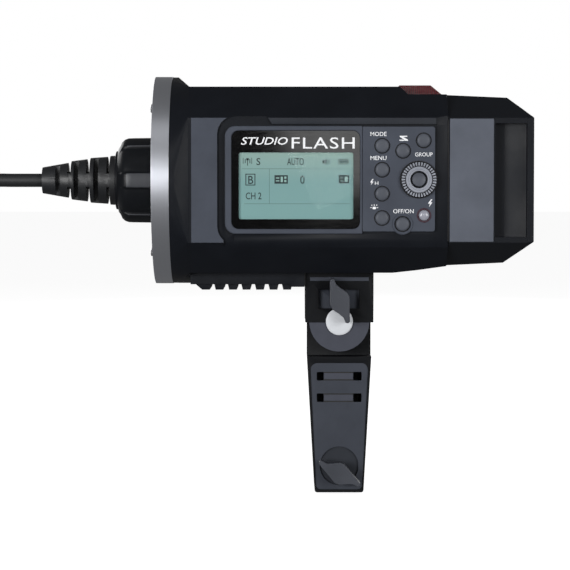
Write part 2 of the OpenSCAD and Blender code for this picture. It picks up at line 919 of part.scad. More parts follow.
// Start, end, first radius and last radius of each segment
relief_segments = [
    [relief_x0, -157, 7.6, 10.4], [-157, -145.9, 11.1, 12.5],
    [-145.9, -134.1, 13, 13.8], [-134.1, core_x0, 14.2, 14.4]
];
relief_slots_z = [[-158, -156], [-146.9, -144.9], [-134.9, -133.3]];
relief_slots_y = [[-165, -162.4], [-154.2, -151.5], [-142.6, -139.8]];
web_half = 4;
module strain_relief() {
    color([0.1, 0.1, 0.11])
        union() {
            rod_x(relief_x0 + 1, core_x0, relief_core_r);
            difference() {
                for (g = relief_segments)
                    translate([g[0], 0, axis_z])
                        rotate([0, 90, 0])
                            cylinder(h = g[1] - g[0], r1 = g[2], r2 = g[3]);
                for (g = relief_slots_z, side = [-20, web_half])
                    block([g[0], -20, axis_z + side], [g[1], 20, axis_z + side + 20 - web_half]);
                for (g = relief_slots_y, side = [-20, web_half])
                    block([g[0], side, axis_z - 20], [g[1], side + 20 - web_half, axis_z + 20]);
            }
        }
}

// Route of the lead from the sleeve's mouth down to the surface, where it runs into the coil.
lead_route = [
    [-173, 0, 181], [-182, 0, 181], [-191, 0, 181], [-200, 0, 181], [-208, 0, 180], [-216, 0, 178],
    [-224, 0, 173], [-231, 0, 167], [-237, 0, 159], [-241, -2, 150], [-243, -4, 140], [-243, -10, 124],
    [-243, -18, 108], [-243, -26, 92], [-243, -33, 76], [-243, -38, 61], [-243, -41, 47],
    [-243, -41, 36], [-243, -38, 26], [-243, -33, 17], [-243, -25, 10], [-243, -15, 6], [-243, -5, 5],
    [-243, 0, 5]
];
// Tail from the coil's top turn to the far connector.
tail_route = [
    [-306, 57, 13], [-314, 57, 13], [-322, 57, 13], [-330, 57, 13], [-337, 57, 13], [-345, 57, 13]
];
coil_at = [-300, 0];
coil_r_in = 28;
coil_r_out = 61;
coil_h = 17;
cord_sides = 12;

function unit(v) = v / norm(v);
function route_dir(r, i) = unit(r[min(i + 1, len(r) - 1)] - r[max(i - 1, 0)]);
// No stretch of either route runs along side, so each ring can take its start from it.
function route_ring(r, i, side, n) = let (
        d = route_dir(r, i),
        u = unit(side - (side * d) * d),
        v = cross(d, u)
    )
    [for (k = [0:n - 1]) let (a = 360 * k / n) r[i] + cord_d / 2 * (cos(a) * u + sin(a) * v)];

module tube(route, side) {
    n = cord_sides;
    m = len(route);
    rings = [for (i = [0:m - 1]) each route_ring(route, i, side, n)];
    walls = [for (i = [0:m - 2], k = [0:n - 1])
        [i * n + k, i * n + (k + 1) % n, (i + 1) * n + (k + 1) % n, (i + 1) * n + k]];
    first_cap = [for (k = [0:n - 1]) n - 1 - k];
    last_cap = [for (k = [0:n - 1]) (m - 1) * n + k];
    polyhedron(points = rings, faces = concat(walls, [first_cap, last_cap]));
}

module cord_lead() {
    color([0.1, 0.1, 0.11])
        tube(lead_route, [1, -1, 1]);
}

module cord_tail() {
    color([0.1, 0.1, 0.11])
        tube(tail_route, [0, 0, 1]);
}

module cord_coil() {
    color([0.1, 0.1, 0.11])
        translate([coil_at[0], coil_at[1], 0])
            rotate_extrude()
                polygon([
                    [coil_r_in + 3, 0], [coil_r_out - 3, 0], [coil_r_out, 3], [coil_r_out, coil_h - 3],
                    [coil_r_out - 3, coil_h], [coil_r_in + 3, coil_h], [coil_r_in, coil_h - 3], [coil_r_in, 3]
                ]);
}

// Far end of the lead: an in-line locking socket that lies beyond the coil.
far_r = 13;
module far_connector() {
    color([0.12, 0.12, 0.13])
        translate([-345, 57, far_r])
            rotate([0, -90, 0])
                difference() {
                    union() {
                        cylinder(h = 16, r1 = 6, r2 = 9.5);
                        translate([0, 0, 16])
                            cylinder(h = 34, r = 12.2);
                        translate([0, 0, 30])
                            cylinder(h = 16, r = far_r);
                    }
                    translate([0, 0, 36])
                        cylinder(h = 15, r = 9);
                }
}

front_ring();
ring_screws();
front_collar();
mount_lock_slider();
reflector_pan();
flash_socket();
housing_control_side();
housing_far_side();
housing_screws();
vent_grille();
optical_sensor_window();
fan_frame();
fan_rotor();
capacitor(22);  // capacitor_upper
capacitor(-21);  // capacitor_lower
power_board();
charging_transformer();
control_board();
rear_frame();
battery_contacts();
battery_latch();
port_block();
port_cover();
display_bezel();
display_window();
lcd_panel();
control_plate();
control_dial();
dial_centre_button();
for (b = buttons)
    button(b);
battery_case();
battery_end_cap();
battery_plate(-1);  // battery_plate_near
battery_plate(1);  // battery_plate_far
battery_cells();
bracket_head();
bracket_screws();
umbrella_knob();
pivot_bolt();
pivot_nut();
tilt_washers();
tilt_lever();
handle_shell();
handle_panel();
socket_liner();
stand_knob();
plug_core();
plug_grip();
strain_relief();
cord_lead();
cord_coil();
cord_tail();
far_connector();
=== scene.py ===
"""Looks of the battery studio flash: camera, extension lead, finished pieces, materials and lights.

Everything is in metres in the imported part's own frame: +X runs from the lamp mouth to the battery,
the control face looks to -Y and +Z is up the handle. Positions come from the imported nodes' boxes.
"""
import json
import math

import bmesh
import bpy
from mathutils import Matrix, Vector


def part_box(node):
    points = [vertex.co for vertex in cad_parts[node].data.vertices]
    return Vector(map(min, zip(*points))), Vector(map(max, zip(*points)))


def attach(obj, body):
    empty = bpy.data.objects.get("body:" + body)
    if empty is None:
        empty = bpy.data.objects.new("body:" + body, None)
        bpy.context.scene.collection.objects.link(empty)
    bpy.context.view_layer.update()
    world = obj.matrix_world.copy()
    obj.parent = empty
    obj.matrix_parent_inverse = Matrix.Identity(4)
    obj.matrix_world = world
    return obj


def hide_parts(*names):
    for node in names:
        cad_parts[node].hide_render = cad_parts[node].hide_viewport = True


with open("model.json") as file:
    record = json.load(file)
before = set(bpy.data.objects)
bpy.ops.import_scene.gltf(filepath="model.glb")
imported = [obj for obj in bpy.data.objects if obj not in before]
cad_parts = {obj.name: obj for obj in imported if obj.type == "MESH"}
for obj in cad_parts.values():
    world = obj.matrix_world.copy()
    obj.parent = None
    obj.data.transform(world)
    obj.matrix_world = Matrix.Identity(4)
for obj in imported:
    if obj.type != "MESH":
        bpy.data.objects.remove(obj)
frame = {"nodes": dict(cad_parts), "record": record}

MM = 0.001
NODES = frame["nodes"]
BODY_OF = {n: b for b, ns in frame["record"]["behaviour"]["bodies"].items() for n in ns}
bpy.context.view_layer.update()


def centre_of(node):
    low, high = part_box(node)
    return (low + high) / 2


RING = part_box("front_ring")
AXIS_Z = centre_of("front_ring").z
FACE_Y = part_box("housing_control_side")[0].y


# ---------------------------------------------------------------- camera
VIEW_DISTANCE = 1.35
VIEW_X = -31.4 * MM
VIEW_DOWN = 61.3 * MM


def make_camera():
    """Level with the flash axis, square to the control face, tipped down to frame the handle."""
    data = bpy.data.cameras.new("camera")
    data.lens = 145.6
    data.sensor_width = 36
    data.clip_end = 30
    cam = bpy.data.objects.new("camera", data)
    cam.location = (VIEW_X, -VIEW_DISTANCE, AXIS_Z)
    cam.rotation_euler = (math.pi / 2 - math.atan(VIEW_DOWN / VIEW_DISTANCE), 0, 0)
    bpy.context.scene.collection.objects.link(cam)
    bpy.context.scene.camera = cam


make_camera()


# ---------------------------------------------------------------- materials
class Nodes:
    """A material under construction, with short calls for the nodes used here."""

    def __init__(self, name):
        self.material = bpy.data.materials.new(name)
        self.material.use_nodes = True
        self.tree = self.material.node_tree
        self.shader = self.tree.nodes["Principled BSDF"]
        self.coord = self.add("ShaderNodeTexCoord")

    def add(self, kind, **inputs):
        node = self.tree.nodes.new(kind)
        for key, value in inputs.items():
            node.inputs[key].default_value = value
        return node

    def link(self, a, b):
        self.tree.links.new(a, b)

    def set(self, **values):
        for key, value in values.items():
            self.shader.inputs[key.replace("_", " ")].default_value = value

    def place(self, scale=(1, 1, 1), rotation=(0, 0, 0)):
        mapping = self.add("ShaderNodeMapping")
        mapping.inputs["Scale"].default_value = scale
        mapping.inputs["Rotation"].default_value = rotation
        self.link(self.coord.outputs["Object"], mapping.inputs["Vector"])
        return mapping.outputs["Vector"]

    def noise(self, scale, detail=3, rough=0.55, vector=None):
        node = self.add("ShaderNodeTexNoise")
        node.inputs["Scale"].default_value = scale
        node.inputs["Detail"].default_value = detail
        node.inputs["Roughness"].default_value = rough
        self.link(vector or self.coord.outputs["Object"], node.inputs["Vector"])
        return node.outputs["Fac"]

    def ramp(self, fac, stops):
        node = self.add("ShaderNodeValToRGB")
        ramp = node.color_ramp
        while len(ramp.elements) < len(stops):
            ramp.elements.new(0.5)
        for element, (place, colour) in zip(ramp.elements, stops):
            element.position = place
            element.color = (*colour, 1) if len(colour) == 3 else colour
        self.link(fac, node.inputs["Fac"])
        return node.outputs["Color"]

    def spread(self, fac, low, high, low_in=0.3, high_in=0.7):
        node = self.add("ShaderNodeMapRange")
        for key, value in (("From Min", low_in), ("From Max", high_in), ("To Min", low), ("To Max", high)):
            node.inputs[key].default_value = value
        self.link(fac, node.inputs["Value"])
        return node.outputs["Result"]

    def bump(self, height, strength, distance, chain=None):
        node = self.add("ShaderNodeBump")
        node.inputs["Strength"].default_value = strength
        node.inputs["Distance"].default_value = distance
        self.link(height, node.inputs["Height"])
        if chain:
            self.link(chain, node.inputs["Normal"])
        return node.outputs["Normal"]

    def wear(self, vector=None):
        return self.noise(45, 5, 0.6, vector)


def shade(colour, factor):
    return tuple(min(1, c * factor) for c in colour)


def moulded(name, colour, rough=0.5, grain=2600, depth=0.05, variation=0.12, specular=0.12):
    """Moulded plastic: spark-eroded grain, faint mottling and uneven gloss from handling."""
    m = Nodes(name)
    blotch = m.wear()
    m.link(
        m.ramp(blotch, [(0.3, shade(colour, 1 - variation)), (0.7, shade(colour, 1 + variation))]),
        m.shader.inputs["Base Color"],
    )
    m.link(m.spread(blotch, rough - 0.06, rough + 0.07), m.shader.inputs["Roughness"])
    coarse = m.bump(m.noise(grain * 0.35, 2, 0.5), depth, 0.00012)
    m.link(m.bump(m.noise(grain, 2, 0.6), depth * 1.6, 0.00006, coarse), m.shader.inputs["Normal"])
    m.set(Specular_IOR_Level=specular)
    return m.material


def gloss(name, colour, rough=0.06, coat=0.5, specular=0.5):
    """Polished plastic with a trace of fine scratches in its gloss."""
    m = Nodes(name)
    hair = m.noise(900, 4, 0.7, m.place((0.15, 1, 1), (0, 0.5, 0)))
    m.link(m.spread(hair, rough, rough + 0.06), m.shader.inputs["Roughness"])
    m.link(
        m.ramp(m.wear(), [(0.3, shade(colour, 0.9)), (0.7, shade(colour, 1.1))]),
        m.shader.inputs["Base Color"],
    )
    m.set(Coat_Weight=coat, Coat_Roughness=0.03, Specular_IOR_Level=specular)
    return m.material


def turned(name, colour, rough=0.28, axis="X", centre=(0, 0, 0)):
    """Lathe-turned metal: fine grooves that run round the axis through centre, brushed highlights."""
    m = Nodes(name)
    shift = m.add("ShaderNodeVectorMath")
    shift.operation = "SUBTRACT"
    shift.inputs[1].default_value = centre
    m.link(m.coord.outputs["Object"], shift.inputs[0])
    split = m.add("ShaderNodeSeparateXYZ")
    m.link(shift.outputs["Vector"], split.inputs["Vector"])
    flat = m.add("ShaderNodeCombineXYZ")
    for name_of in "XYZ".replace(axis, ""):
        m.link(split.outputs[name_of], flat.inputs[name_of])
    far = m.add("ShaderNodeVectorMath")
    far.operation = "LENGTH"
    m.link(flat.outputs["Vector"], far.inputs[0])
    track = m.add("ShaderNodeCombineXYZ")
    m.link(far.outputs["Value"], track.inputs["X"])
    m.link(split.outputs[axis], track.inputs["Y"])
    grooves = m.noise(5200, 3, 0.6, track.outputs["Vector"])
    m.link(
        m.ramp(grooves, [(0.3, shade(colour, 0.9)), (0.7, shade(colour, 1.06))]),
        m.shader.inputs["Base Color"],
    )
    m.link(m.spread(grooves, rough - 0.05, rough + 0.08), m.shader.inputs["Roughness"])
    m.link(m.bump(grooves, 0.1, 0.00004), m.shader.inputs["Normal"])
    m.set(Metallic=1.0)
    return m.material


def rubber(name, colour, rough=0.55):
    """Soft black rubber: pores, dust in the pores and a dull broad sheen."""
    m = Nodes(name)
    pores = m.noise(1500, 3, 0.6)
    m.link(
        m.ramp(pores, [(0.25, shade(colour, 1.6)), (0.6, colour)]),
        m.shader.inputs["Base Color"],
    )
    m.link(m.spread(m.wear(), rough - 0.08, rough + 0.1), m.shader.inputs["Roughness"])
    m.link(m.bump(pores, 0.12, 0.00012), m.shader.inputs["Normal"])
    m.set(Specular_IOR_Level=0.45)
    return m.material


SLATE = (0.055, 0.0625, 0.081)
SLATE_LIGHT = (0.097, 0.107, 0.132)
NIGHT = (0.0066, 0.0078, 0.0108)
BLACK = (0.0036, 0.0042, 0.0055)


def lit_panel(name, low, high, glow, z_low, z_high):
    """The LCD's film: a grey-green ground, lighter at its top, with a fine grain bumped into it."""
    m = Nodes(name)
    split = m.add("ShaderNodeSeparateXYZ")
    m.link(m.coord.outputs["Object"], split.inputs["Vector"])
    up = m.spread(split.outputs["Z"], 0, 1, z_low, z_high)
    ground = m.ramp(up, [(0.0, low), (0.55, shade(low, 0.96)), (1.0, high)])
    m.link(ground, m.shader.inputs["Base Color"])
    m.link(ground, m.shader.inputs["Emission Color"])
    m.link(m.bump(m.noise(4200, 2, 0.5), 0.04, 0.00004), m.shader.inputs["Normal"])
    m.set(Roughness=0.35, Emission_Strength=glow)
    return m.material


def printed(name, colour, glow=0.0):
    """Screen-printed ink: matt, a little uneven in weight."""
    m = Nodes(name)
    ink = m.ramp(m.noise(2400, 3), [(0.3, shade(colour, 0.86)), (0.65, colour)])
    m.link(ink, m.shader.inputs["Base Color"])
    if glow:
        m.link(ink, m.shader.inputs["Emission Color"])
        m.set(Emission_Strength=glow)
    m.set(Roughness=0.5)
    return m.material


def tinted_red():
    """Clear dark-red window of the optical sensor, with ribs of the lens moulded inside it."""
    m = Nodes("sensor_red_lens")
    waves = m.add("ShaderNodeTexWave")
    waves.inputs["Scale"].default_value = 260
    waves.inputs["Distortion"].default_value = 0.4
    m.link(m.place((1, 0.15, 1)), waves.inputs["Vector"])
    m.link(
        m.ramp(waves.outputs["Fac"], [(0.2, (0.034, 0.0012, 0.003)), (0.85, (0.085, 0.003, 0.007))]),
        m.shader.inputs["Base Color"],
    )
    m.link(m.bump(waves.outputs["Fac"], 0.05, 0.0001), m.shader.inputs["Normal"])
    m.set(Roughness=0.2, Specular_IOR_Level=0.2)
    return m.material


def board_mask():
    """Green solder mask with lighter tracks under it."""
    m = Nodes("solder_mask")
    tracks = m.add("ShaderNodeTexBrick")
    tracks.inputs["Scale"].default_value = 90
    tracks.inputs["Mortar Size"].default_value = 0.04
    tracks.inputs["Color1"].default_value = (0.008, 0.075, 0.035, 1)
    tracks.inputs["Color2"].default_value = (0.01, 0.1, 0.045, 1)
    tracks.inputs["Mortar"].default_value = (0.03, 0.2, 0.09, 1)
    m.link(m.place((1, 1, 1), (math.pi / 2, 0, 0)), tracks.inputs["Vector"])
    m.link(tracks.outputs["Color"], m.shader.inputs["Base Color"])
    m.link(m.bump(tracks.outputs["Fac"], 0.2, 0.0001), m.shader.inputs["Normal"])
    m.set(Roughness=0.3)
    return m.material


def clear_pane():
    """Thin acrylic over the LCD: see-through, with the gloss of its surface."""
    m = Nodes("clear_pane")
    through = m.add("ShaderNodeBsdfTransparent")
    through.inputs["Color"].default_value = (0.97, 0.985, 0.98, 1)
    mirror = m.add("ShaderNodeBsdfGlossy")
    mirror.inputs["Roughness"].default_value = 0.02
    facing = m.add("ShaderNodeFresnel", IOR=1.09)
    mix = m.add("ShaderNodeMixShader")
    m.link(facing.outputs["Fac"], mix.inputs["Fac"])
    m.link(through.outputs["BSDF"], mix.inputs[1])
    m.link(mirror.outputs["BSDF"], mix.inputs[2])
    m.link(mix.outputs["Shader"], m.tree.nodes["Material Output"].inputs["Surface"])
    m.tree.nodes.remove(m.shader)
    return m.material


MATERIALS = {
    "machined_ring": turned("turned_aluminium", (0.66, 0.68, 0.735), 0.34, "X", (0, 0, AXIS_Z)),
    "steel_fasteners": turned("plated_steel", (0.55, 0.55, 0.57), 0.24, "Y"),
    "polished_disc": moulded("polished_pivot", (0.62, 0.64, 0.67), 0.4, 900, 0.03, 0.08, 0.5),
    "black_moulding": moulded("night_moulding", NIGHT, 0.46),
    "housing_grey": moulded("slate_moulding", SLATE, 0.5),
    "battery_facet": moulded("light_slate_moulding", SLATE_LIGHT, 0.52),
    "bracket_black": moulded("glass_filled_black", BLACK, 0.5, 1700, 0.08),
    "cheek_grey": moulded("cheek_slate", (0.057, 0.061, 0.078), 0.48, 1900, 0.07),
    "handle_grey": moulded("handle_slate", (0.043, 0.048, 0.061), 0.5, 1900, 0.06),
    "knob_black": moulded("knob_black", (0.043, 0.047, 0.058), 0.36, 1900, 0.05, 0.12, 0.35),
    "upper_strip": moulded("upper_strip", (0.026, 0.029, 0.036), 0.5),
    # Lighter moulding laid on the plug's side-facing ribs as a painted highlight.
    "grip_rib_highlight": moulded("grip_rib_highlight", (0.055, 0.058, 0.066), 0.36, 2200, 0.04, 0.12, 0.3),
    "gasket_black": rubber("gasket_black", (0.003, 0.003, 0.0035), 0.6),
    "key_plastic": moulded("key_slate", (0.072, 0.079, 0.096), 0.42, 3200, 0.04, 0.12, 0.2),
    "dial_black": moulded("dial_black", (0.011, 0.012, 0.015), 0.38, 3200, 0.04),
    "dial_face": moulded("dial_face", (0.26, 0.275, 0.315), 0.42, 3200, 0.04),
    "test_cap": gloss("test_cap", (0.27, 0.275, 0.32), 0.25),
    "plug_black": moulded("plug_black", (0.0075, 0.0085, 0.0105), 0.36, 2200, 0.04, 0.12, 0.16),
    "soft_rubber": rubber("soft_rubber", (0.0095, 0.0102, 0.0118), 0.45),
    "cable_rubber": rubber("cable_jacket", (0.0095, 0.0102, 0.0115), 0.5),
    "port_black": moulded("port_black", (0.008, 0.008, 0.009), 0.6),
    "pan_white": moulded("pan_satin_white", (0.75, 0.75, 0.72), 0.35, 1500, 0.03, 0.04),
    "socket_ceramic": moulded("socket_ceramic", (0.55, 0.5, 0.42), 0.55, 1200, 0.08, 0.06),
    "capacitor_sleeve": gloss("capacitor_sleeve", (0.012, 0.02, 0.07), 0.25, 0.2),
    "cell_wrap": gloss("cell_wrap", (0.03, 0.17, 0.07), 0.25, 0.2),
    "winding_copper": rubber("winding_tape", (0.42, 0.24, 0.06), 0.4),
    "contact_brass": turned("contact_brass", (0.75, 0.55, 0.22), 0.25, "Z"),
    "board_green": board_mask(),
    "sensor_red": tinted_red(),
    "window_gloss": gloss("window_gloss", (0.0022, 0.0022, 0.0024), 0.05, 0.0, 0.15),
    "white_ink": printed("white_ink", (0.85, 0.86, 0.88)),
    "lcd_ink": printed("lcd_segments", (0.006, 0.018, 0.022)),
    "lcd_ink_light": printed("lcd_segments_light", (0.09, 0.16, 0.16)),
    "tie_fabric": rubber("tie_fabric", (0.02, 0.02, 0.022), 0.8),
}

SLOT_OF = {p["node"]: p["material_slot"] for p in frame["record"]["subparts"]}


# ---------------------------------------------------------------- mesh helpers
def add_object(name, mesh):
    piece = bpy.data.objects.new(name, mesh)
    bpy.context.scene.collection.objects.link(piece)
    return piece


def settle(piece, node, material, body=None, replace=False):
    """Gives a piece its material, its body and its slot, and lets it stand for its node."""
    if material is not None:
        piece.data.materials.clear()
        piece.data.materials.append(MATERIALS[material])
    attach(piece, body or BODY_OF[node])
    if replace:
        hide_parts(node)
    return piece


def smooth(mesh, angle=35):
    mesh.shade_smooth()
    mesh.set_sharp_from_angle(angle=math.radians(angle))


def bake_modifiers(piece):
    graph = bpy.context.evaluated_depsgraph_get()
    mesh = bpy.data.meshes.new_from_object(piece.evaluated_get(graph))
    piece.modifiers.clear()
    piece.data = mesh


def soften(node, width, material=None, steps=2, cuts=()):
    """The node's own shape with its edges rounded by width mm. cuts are (point, normal) colour breaks."""
    mesh = NODES[node].data.copy()
    work = bmesh.new()
    work.from_mesh(mesh)
    bmesh.ops.remove_doubles(work, verts=work.verts, dist=2e-6)
    bmesh.ops.dissolve_limit(work, angle_limit=math.radians(0.6), verts=work.verts, edges=work.edges)
    for point, normal in cuts:
        geometry = [*work.verts, *work.edges, *work.faces]
        bmesh.ops.bisect_plane(work, geom=geometry, dist=1e-6, plane_co=point, plane_no=normal)
    work.to_mesh(mesh)
    work.free()
    smooth(mesh)
    piece = add_object(node + "_skin", mesh)
    bevel = piece.modifiers.new("edges", "BEVEL")
    bevel.width = width * MM
    bevel.segments = steps
    bevel.limit_method = "ANGLE"
    bevel.angle_limit = math.radians(38)
    bevel.harden_normals = True
    bevel.use_clamp_overlap = True
    bevel.miter_outer = "MITER_ARC"
    bake_modifiers(piece)
    return settle(piece, node, material or SLOT_OF[node], replace=True)


def frame_for(axis):
    """Turns +Z of a lathed piece onto the given axis."""
    return Vector(axis).to_track_quat("Z", "Y").to_matrix().to_4x4()


def lathe(name, profile, centre, axis, around=96, radial=None):
    """Solid of revolution. profile is (height, radius) in mm; radial(angle, i) scales ring i's radius."""
    work = bmesh.new()
    rings = []
    for i, (height, radius) in enumerate(profile):
        if radius == 0:
            rings.append([work.verts.new((0, 0, height))])
            continue
        ring = []
        for k in range(around):
            a = 2 * math.pi * k / around
            r = radius * (radial(a, i) if radial else 1)
            ring.append(work.verts.new((r * math.cos(a), r * math.sin(a), height)))
        rings.append(ring)
    for low, high in zip(rings, rings[1:]):
        for k in range(around):
            n = (k + 1) % around
            if len(low) == 1 and len(high) > 1:
                work.faces.new((low[0], high[n], high[k]))
            elif len(high) == 1 and len(low) > 1:
                work.faces.new((low[k], low[n], high[0]))
            elif len(low) > 1:
                work.faces.new((low[k], low[n], high[n], high[k]))
    bmesh.ops.recalc_face_normals(work, faces=work.faces)
    mesh = bpy.data.meshes.new(name)
    work.to_mesh(mesh)
    work.free()
    mesh.transform(Matrix.Translation(centre) @ frame_for(axis) @ Matrix.Scale(MM, 4))
    smooth(mesh)
    return add_object(name, mesh)


def plate(name, outline, depth, y_face):
    """Thin plate in the XZ plane: an outline in mm about the flash axis, its face at y_face."""
    work = bmesh.new()
    front = [work.verts.new((x * MM, y_face, AXIS_Z + z * MM)) for x, z in outline]
    face = work.faces.new(front)
    made = bmesh.ops.extrude_face_region(work, geom=[face])["geom"]
    moved = [g for g in made if isinstance(g, bmesh.types.BMVert)]
    bmesh.ops.translate(work, verts=moved, vec=(0, depth * MM, 0))
    bmesh.ops.recalc_face_normals(work, faces=work.faces)
    mesh = bpy.data.meshes.new(name)
    work.to_mesh(mesh)
    work.free()
    return add_object(name, mesh)


def rectangle(x0, x1, z0, z1, radius=0.0, steps=5):
    """Rectangle outline with round corners, as a list of points in mm."""
    if not radius:
        return [(x0, z0), (x1, z0), (x1, z1), (x0, z1)]
    corners = [(x1 - radius, z0 + radius, -90), (x1 - radius, z1 - radius, 0),
               (x0 + radius, z1 - radius, 90), (x0 + radius, z0 + radius, 180)]
    points = []
    for cx, cz, start in corners:
        for k in range(steps + 1):
            a = math.radians(start + 90 * k / steps)
            points.append((cx + radius * math.cos(a), cz + radius * math.sin(a)))
    return points


def joined(name, pieces):
    """One object from several plates or letters."""
    work = bmesh.new()
    for piece in pieces:
        work.from_mesh(piece.data)
        bpy.data.objects.remove(piece)
    mesh = bpy.data.meshes.new(name)
    work.to_mesh(mesh)
    work.free()
    return add_object(name, mesh)


def lettering(text, x, z, height, y_face, depth=0.06, spacing=1.0, weight=0.0, lean=0.0, width=None):
    """Plain generic word standing depth mm proud of y_face, its left foot at (x, z) in mm."""
    curve = bpy.data.curves.new("word", "FONT")
    curve.body = text
    curve.size = height / 0.7
    curve.space_character = spacing
    curve.offset = weight
    curve.shear = lean
    curve.extrude = depth / 2
    curve.resolution_u = 3
    holder = add_object("word", curve)
    mesh = bpy.data.meshes.new_from_object(holder.evaluated_get(bpy.context.evaluated_depsgraph_get()))
    bpy.data.objects.remove(holder)
    reach = max(v.co.x for v in mesh.vertices)
    squeeze = width / reach if width else 1
    place = Matrix.Translation((x * MM, y_face - depth * MM / 2, AXIS_Z + z * MM))
    turn = Matrix.Rotation(math.pi / 2, 4, "X")
    mesh.transform(place @ turn @ Matrix.Diagonal((squeeze * MM, MM, MM, 1)))
    return add_object("word_" + text.replace(" ", "_").replace("/", "_"), mesh)


# ---------------------------------------------------------------- extension lead
CORD_D = 8 * MM
LEAD_ROUTE = [
    (-173, 0, 181), (-182, 0, 181), (-191, 0, 181), (-200, 0, 181), (-208, 0, 180), (-216, 0, 178),
    (-224, 0, 173), (-231, 0, 167), (-237, 0, 159), (-241, -2, 150), (-243, -4, 140), (-243, -10, 124),
    (-243, -18, 108), (-243, -26, 92), (-243, -33, 76), (-243, -38, 61), (-243, -41, 47),
    (-243, -41, 36), (-243, -38, 26), (-243, -33, 17), (-243, -25, 10), (-243, -15, 6), (-243, -5, 5),
]
TAIL_ROUTE = [
    (-306, 57, 13), (-314, 57, 13), (-322, 57, 13), (-330, 57, 13), (-337, 57, 13), (-345, 57, 13),
]
COIL_CENTRE = (-300, 0)
COIL_OUTER = 57
COIL_INNER = 32.4
LAYER_Z = (4.6, 12.9)
TURN_POINTS = 20


def coil_points():
    """Three turns inwards on the surface, half a turn up, then outwards on top of them."""
    def at(angle, radius, z):
        a = math.radians(angle)
        return (COIL_CENTRE[0] + radius * math.cos(a), COIL_CENTRE[1] + radius * math.sin(a), z)

    points = []
    drop = COIL_OUTER - COIL_INNER
    step = 360 / TURN_POINTS
    lower = 3 * TURN_POINTS
    for k in range(lower):
        points.append(at(step * k, COIL_OUTER - drop * k / lower, LAYER_Z[0]))
    climb = TURN_POINTS // 2
    for k in range(climb):
        rise = 0.5 - 0.5 * math.cos(math.pi * k / climb)
        z = LAYER_Z[0] + (LAYER_Z[1] - LAYER_Z[0]) * rise
        points.append(at(step * k, COIL_INNER, z))
    upper = int(2.75 * TURN_POINTS)
    for k in range(upper + 1):
        points.append(at(180 + step * k, COIL_INNER + drop * k / upper, LAYER_Z[1]))
    return points


def make_cord():
    points = LEAD_ROUTE + coil_points() + TAIL_ROUTE
    curve = bpy.data.curves.new("lead_cable", "CURVE")
    curve.dimensions = "3D"
    curve.bevel_depth = CORD_D / 2
    curve.bevel_resolution = 5
    curve.resolution_u = 4
    curve.use_fill_caps = True
    spline = curve.splines.new("BEZIER")
    spline.bezier_points.add(len(points) - 1)
    for knot, point in zip(spline.bezier_points, points):
        knot.co = Vector(point) * MM
        knot.handle_left_type = knot.handle_right_type = "AUTO"
    cable = add_object("lead_cable", curve)
    cable.data.materials.append(MATERIALS["cable_rubber"])
    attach(cable, "head")
    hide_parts("cord_lead", "cord_coil", "cord_tail")
    return cable


def coil_tie():
    """Hook-and-loop strap round the coil's bundle."""
    thickness = 1.1
    half_width = 8
    mid = (COIL_OUTER + COIL_INNER) / 2
    outline = rectangle(-16.4, 16.4, 0.5, 16.8, 5, 8)
    work = bmesh.new()
    rows = []
    for grow in (0, thickness):
        for y in (-half_width, half_width):
            row = []
            for x, z in outline:
                side = x + grow * math.copysign(1, x) * 0.6
                lifted = z + grow * (0.4 if z > 8 else -0.4)
                row.append(work.verts.new((side, y, max(0.05, lifted))))
            rows.append(row)
    order = [rows[0], rows[1], rows[3], rows[2]]
    count = len(outline)
    for a, b in zip(order, order[1:] + order[:1]):
        for k in range(count):
            n = (k + 1) % count
            work.faces.new((a[k], a[n], b[n], b[k]))
    bmesh.ops.recalc_face_normals(work, faces=work.faces)
    mesh = bpy.data.meshes.new("coil_tie")
    work.to_mesh(mesh)
    work.free()
    place = Matrix.Translation(Vector((COIL_CENTRE[0], COIL_CENTRE[1] - mid, 0)) * MM)
    mesh.transform(place @ Matrix.Rotation(math.pi / 2, 4, "Z") @ Matrix.Scale(MM, 4))
    smooth(mesh)
    tie = add_object("coil_tie", mesh)
    return settle(tie, "cord_coil", "tie_fabric")


cable = make_cord()
tie = coil_tie()


# ---------------------------------------------------------------- housing, battery, bracket, handle
EDGE_WIDTHS = {
    "front_collar": 0.8, "vent_grille": 0.5, "optical_sensor_window": 0.9, "mount_lock_slider": 0.5,
    "battery_end_cap": 0.5, "battery_plate_near": 0.8, "battery_plate_far": 0.8,
    "battery_latch": 0.5, "port_cover": 0.6, "display_bezel": 0.8, "control_plate": 0.5,
    "tilt_lever": 1.6, "handle_shell": 1.0, "handle_panel": 0.5, "umbrella_knob": 1.2,
    "stand_knob": 1.2, "plug_core": 0.8, "strain_relief": 0.5, "far_connector": 0.8,
    "pivot_nut": 0.5, "socket_liner": 0.4, "front_ring": 1.2, "fan_rotor": 0.3, "fan_frame": 0.5,
    "flash_socket": 0.8, "reflector_pan": 0.6,
}


FRONT_X = -84 * MM
ISLAND_X = -60 * MM
STRIP_Z = AXIS_Z + 31 * MM
SLOT_HEIGHTS = (67.6, 55.1)
KNOB_HEIGHT = 15.5


def paint_facets(piece, finishes, choose):
    """Gives each face of a moulding the finish that choose picks for it."""
    mesh = piece.data
    mesh.materials.clear()
    for name in finishes:
        mesh.materials.append(MATERIALS[name])
    for face in mesh.polygons:
        face.material_index = finishes.index(choose(face))


def housing_tone_and_shade(face):
    """Slate on the side facets, a darker strip over the display and a dark ground behind the controls; the
    dark moulding on chamfers and slopes is painted shade.
    """
    centre = face.center
    # Faces that turn from the side, inner faces and the front end get the dark moulding; on the chamfers and
    # slopes it is painted shade.
    if abs(face.normal.y) < 0.992 or abs(centre.y) < abs(FACE_Y) - 0.2 * MM or centre.x < FRONT_X:
        return "black_moulding"
    if centre.y > 0 or centre.x < ISLAND_X:
        return "housing_grey"
    return "upper_strip" if centre.z > STRIP_Z else "black_moulding"


